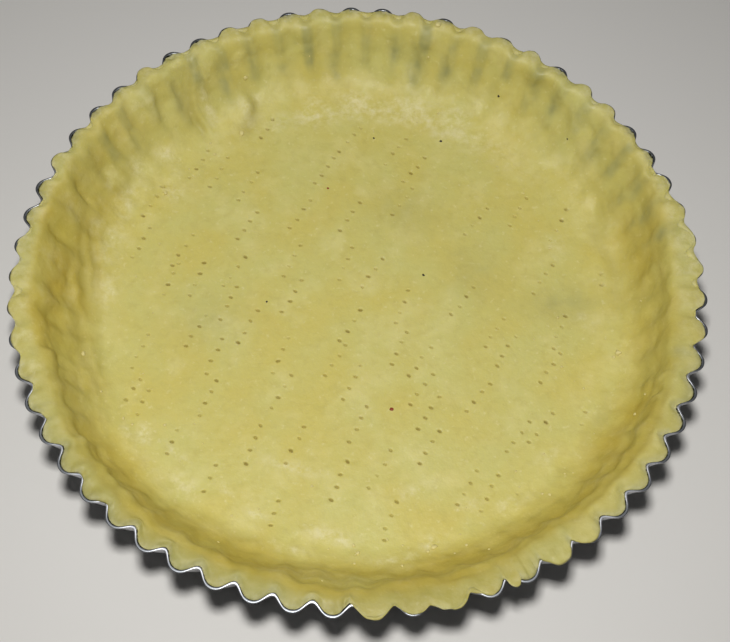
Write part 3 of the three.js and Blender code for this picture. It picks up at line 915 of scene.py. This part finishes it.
def make_tin(material):
    """The tin's section carried round the axis, and closed at the middle."""
    count = FLUTES * POINTS_TO_A_FLUTE
    angle = np.linspace(0, 2 * np.pi, count, endpoint=False)
    rings = [polar(r, angle, np.full(count, float(z))) for r, z in tin_section(angle)]
    points = np.concatenate([[(0, 0, 0)], *rings, [(0, 0, SHEET)]])
    faces = []
    for k in range(len(rings) - 1):
        faces += ring_faces(1 + (k + 1) * count, 1 + k * count, count).tolist()
    first = 1 + np.arange(count)
    last = 1 + (len(rings) - 1) * count + np.arange(count)
    faces += fan_faces(0, np.roll(first, -1), first).tolist()
    faces += fan_faces(len(points) - 1, last, np.roll(last, -1)).tolist()
    tin = make_piece("tin", points, faces, material)
    x, y, z = points.T
    turn = np.arctan2(y, x)
    inside = np.hypot(x, y) < tin_outside(z, turn) - SHEET * 0.8
    add_attribute(tin, "inner", inside * smooth(z, 2, 6))
    # Painted reflection: 1 on the flutes' inward ridges, which keep the bright metal, 0 on the outward lobes,
    # painted darker.
    add_attribute(tin, "ridge_sheen", smooth(-flute_wave(turn), -0.6, 0.7))
    return tin


# ---- materials ----
def colour(text):
    """A hex colour as it is seen, turned to the linear numbers that a shader takes."""
    shares = [int(text[k:k + 2], 16) / 255 for k in (1, 3, 5)]
    return [s / 12.92 if s <= 0.04045 else ((s + 0.055) / 1.055) ** 2.4 for s in shares] + [1]


def per(size):
    """The scale of a texture whose features are this many millimetres across."""
    return 1 / (size * MM)


def connect(node, inputs):
    """Each input, by name or number, takes a value or another node's output."""
    for name, value in inputs.items():
        if isinstance(value, bpy.types.NodeSocket):
            node.id_data.links.new(value, node.inputs[name])
        else:
            node.inputs[name].default_value = value


def add_node(material, kind, output, inputs=None, **settings):
    """Adds a shader node with its settings, then its inputs, and gives back the output that is named."""
    node = material.node_tree.nodes.new("ShaderNode" + kind)
    for name, value in settings.items():
        setattr(node, name, value)
    connect(node, inputs or {})
    return node.outputs[output]


def new_material(name):
    """An empty node material, what adds a node to it, its Principled shader and its object coordinates."""
    material = bpy.data.materials.new(name)
    material.use_nodes = True
    add = functools.partial(add_node, material)
    return material, add, material.node_tree.nodes["Principled BSDF"], add("TexCoord", "Object")


# The colours laid over the pastry, in order: the colour, how it is laid, the size of its patches in mm, their
# detail and roughness, from which strength of the patches it shows and from which it is full, its least and
# most share, and the kind of mark that it keeps to.
SHORTCRUST_LAYERS = (
    ("#D1CA7B", "MIX", 26, 2, 0.5, 0.36, 0.64, 0.0, 0.9, None),
    ("#E2D892", "MIX", 12, 2, 0.5, 0.50, 0.76, 0.0, 0.5, None),
    ("#CDB85C", "MIX", 17, 2, 0.6, 0.52, 0.78, 0.0, 0.2, None),
    ("#BDB05C", "MIX", 4.5, 3, 0.6, 0.50, 0.80, 0.0, 0.4, None),
    ("#E8DFA6", "MIX", 2.4, 3, 0.6, 0.60, 0.76, 0.0, 0.5, None),
    # The wall's multiply is painted shade, darker and more olive round the front and sides.
    ("#F0E4B2", "MULTIPLY", 9, 2, 0.5, 0.20, 0.60, 0.7, 1.0, "wall"),
    ("#D2D1BC", "MULTIPLY", 9, 2, 0.5, 0.20, 0.60, 0.8, 1.0, "lip"),
    ("#98996A", "MIX", 7, 1, 0.5, 0.30, 0.60, 0.55, 0.85, "thin"),
    # Flour, with painted highlight on the tops of the dabs and the ridges of the streaks.
    ("#EBE3B6", "MIX", 4, 4, 0.65, 0.40, 0.65, 0.05, 0.9, "flour_and_highlight"),
    # Painted shade in the creases, dents, hollows and the lip's groove.
    ("#A0934A", "MIX", 7, 2, 0.5, 0.20, 0.60, 0.3, 0.5, "fold"),
    # Painted shade inside the pricks.
    ("#8F7A38", "MIX", 2, 2, 0.5, 0.20, 0.60, 0.55, 0.75, "pit_shade"),
)


def raw_shortcrust():
    """Raw shortcrust, of flour rubbed with butter and bound with yolk, rolled and pressed by hand: a soft,
    slightly greasy and see-through pale yellow, floury where it was rubbed, and grey where it is so thin
    that the metal shows. Painted shade darkens its walls, creases and pricks, and painted highlight pales
    the tops of its lumps and ridges."""
    material, add, shader, place = new_material("raw_shortcrust")
    butter = colour("#D3C66E")
    for tint, blend, size, detail, roughness, low, high, least, most, mark in SHORTCRUST_LAYERS:
        noise = add("TexNoise", "Fac", {
            "Vector": place, "Scale": per(size), "Detail": detail, "Roughness": roughness})
        share = add("MapRange", "Result", {
            "Value": noise, "From Min": low, "From Max": high, "To Min": least, "To Max": most})
        if mark:
            kept = add("Attribute", "Fac", attribute_name=mark)
            share = add("Math", "Value", {0: share, 1: kept}, operation="MULTIPLY", use_clamp=True)
        butter = add("Mix", "Result", {"Factor": share, "A": butter, "B": colour(tint)},
                     data_type="RGBA", blend_type=blend)

    flour_and_highlight = add("Attribute", "Fac", attribute_name="flour_and_highlight")
    film = add("TexNoise", "Fac", {"Vector": place, "Scale": per(9), "Detail": 3.0})
    gloss = add("MapRange", "Result", {
        "Value": film, "From Min": 0.35, "From Max": 0.7, "To Min": 0.42, "To Max": 0.6})
    dry = add("Math", "Value", {0: flour_and_highlight, 1: 0.3, 2: gloss}, operation="MULTIPLY_ADD")
    rough = add("Math", "Value", {0: flour_and_highlight, 1: 2.5, 2: 1.0}, operation="MULTIPLY_ADD")
    sand = add("TexNoise", "Fac", {"Vector": place, "Scale": per(1.6)})
    sand = add("Math", "Value", {0: sand, 1: rough}, operation="MULTIPLY")
    grain = add("Bump", "Normal", {"Height": sand, "Strength": 0.2, "Distance": 0.25 * MM})
    dimple = add("TexNoise", "Fac", {"Vector": place, "Scale": per(6), "Detail": 3.0})
    skin = add("Bump", "Normal", {"Height": dimple, "Strength": 0.5, "Distance": 1.0 * MM, "Normal": grain})
    connect(shader, {
        "Base Color": butter,
        "Roughness": dry,
        "Normal": skin,
        "Subsurface Weight": 0.3,
        "Subsurface Radius": (1.0, 0.88, 0.4),
        "Subsurface Scale": 1.4 * MM,
        "IOR": 1.45,
        "Specular IOR Level": 0.36,
    })
    return material


def used_tinplate():
    """Tinplate: pressed sheet steel with a bright coat of tin, dulled and finely scratched by baking, with
    burnt grease on the inside. The outward lobes are painted darker than the inward ridges, as painted
    shade for a dimmer reflection."""
    material, add, shader, place = new_material("used_tinplate")
    inner = add("Attribute", "Fac", attribute_name="inner")
    ridge_sheen = add("Attribute", "Fac", attribute_name="ridge_sheen")
    cloud = add("TexNoise", "Fac", {"Vector": place, "Scale": per(14), "Detail": 4.0})
    fleck = add("TexNoise", "Fac", {"Vector": place, "Scale": per(1.1), "Detail": 3.0})
    stretched = add("Mapping", "Vector", {"Vector": place, "Scale": (1.0, 1.0, 0.06)})
    scratch = add("TexNoise", "Fac", {"Vector": stretched, "Scale": per(0.35), "Detail": 2.0})
    dull = add("MapRange", "Result", {"Value": cloud, "From Min": 0.4, "From Max": 0.75, "To Max": 0.7})
    burnt = add("MapRange", "Result", {"Value": fleck, "From Min": 0.42, "From Max": 0.56})
    burnt = add("Math", "Value", {0: burnt, 1: inner}, operation="MULTIPLY")
    metal = colour("#DADCE2")
    metal = add("Mix", "Result", {"Factor": dull, "A": metal, "B": colour("#B4B3B0")}, data_type="RGBA")
    # Painted shade on the outward lobes, for their dimmer reflection.
    metal = add("Mix", "Result", {"Factor": ridge_sheen, "A": colour("#8F9296"), "B": metal}, data_type="RGBA")
    metal = add("Mix", "Result", {"Factor": burnt, "A": metal, "B": colour("#2E3026")}, data_type="RGBA")
    rough = add("MapRange", "Result", {
        "Value": scratch, "From Min": 0.3, "From Max": 0.7, "To Min": 0.34, "To Max": 0.5})
    lines = add("Bump", "Normal", {"Height": scratch, "Strength": 0.12, "Distance": 0.1 * MM})
    connect(shader, {"Base Color": metal, "Metallic": 1.0, "Roughness": rough, "Normal": lines})
    return material


def crumb_material(name, dark, light):
    """A crumb of flour and butter, or a fleck of bran or burnt flour: dry, and mottled in itself."""
    material, add, shader, place = new_material(name)
    cloud = add("TexNoise", "Fac", {"Vector": place, "Scale": per(0.6)})
    shade = add("Mix", "Result", {"Factor": cloud, "A": colour(dark), "B": colour(light)}, data_type="RGBA")
    connect(shader, {"Base Color": shade, "Roughness": 0.6})
    return material


def pale_board():
    """The plain pale floor."""
    material, _, shader, _ = new_material("pale_board")
    connect(shader, {"Base Color": colour("#DEDBD5"), "Roughness": 0.75})
    return material


# ---- the stage ----
CAMERA_DISTANCE = 482.6
CAMERA_ELEVATION = 59.64
CAMERA_TURN = (28.03, -0.35, 3.675)  # about its own X, Y and Z
CAMERA_FOCUS = 1198.6
FRAME_WIDTH = 730
SENSOR_WIDTH = 36
FLOOR_HALF = 1500.0
SURROUND_STRENGTH = 0.05


def make_camera():
    """The camera looks down at the middle of the rim, a little askew."""
    data = bpy.data.cameras.new("camera")
    data.sensor_fit = "HORIZONTAL"
    data.sensor_width = SENSOR_WIDTH
    data.lens = SENSOR_WIDTH * CAMERA_FOCUS / FRAME_WIDTH
    data.clip_start = 0.01
    rise = math.radians(CAMERA_ELEVATION)
    away = CAMERA_DISTANCE * MM
    place = Vector((0, -away * math.cos(rise), TIN_HEIGHT * MM + away * math.sin(rise)))
    stand = Matrix.Translation(place)
    for axis, degrees in zip("XYZ", CAMERA_TURN):
        stand = stand @ Matrix.Rotation(math.radians(degrees), 4, axis)
    camera = put_in_scene("camera", data)
    camera.matrix_world = stand
    bpy.context.scene.camera = camera


def make_light(name, place, size, power):
    """A square soft light at a place in millimetres, facing the middle of the case."""
    data = bpy.data.lights.new(name, "AREA")
    data.size = size * MM
    data.energy = power
    place = Vector(place) * MM
    facing_middle = place.to_track_quat("Z", "Y").to_matrix().to_4x4()
    put_in_scene(name, data).matrix_world = Matrix.Translation(place) @ facing_middle


def make_stage(board):
    """A pale floor under the tin, one soft light above the camera, a wide one overhead, a pale surround."""
    corners = FLOOR_HALF * np.array([(-1, -1, 0), (1, -1, 0), (1, 1, 0), (-1, 1, 0)])
    floor = make_piece("floor", corners, [(0, 1, 2, 3)], board)
    make_light("key", (-20, -150, 560), 70, 2.65)
    make_light("overhead", (-300, 300, 1200), 900, 0.3)
    world = bpy.data.worlds.new("surround")
    world.use_nodes = True
    background = world.node_tree.nodes["Background"]
    background.inputs["Color"].default_value = colour("#E4E6EA")
    background.inputs["Strength"].default_value = SURROUND_STRENGTH
    bpy.context.scene.world = world
    bpy.context.scene.view_settings.view_transform = "Standard"


def add_to_object(piece, node=None):
    """The piece rides on the one body, in place of its solid if it has one."""
    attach(piece, "root")
    if node:
        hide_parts(node)


make_camera()
make_stage(pale_board())

add_to_object(make_tin(used_tinplate()), "tart_tin")
shortcrust = raw_shortcrust()
add_to_object(make_pastry(shortcrust), "pastry_case")
add_to_object(make_crumbs(crumb_material("butter_crumb", "#D2C47A", "#E0D594")))
burnt_flour = crumb_material("burnt_flour", "#1C120A", "#2B2012")
add_to_object(make_specks("dark_specks", False, burnt_flour))
wheat_bran = crumb_material("wheat_bran", "#6A2410", "#B0512A")
add_to_object(make_specks("red_specks", True, wheat_bran))
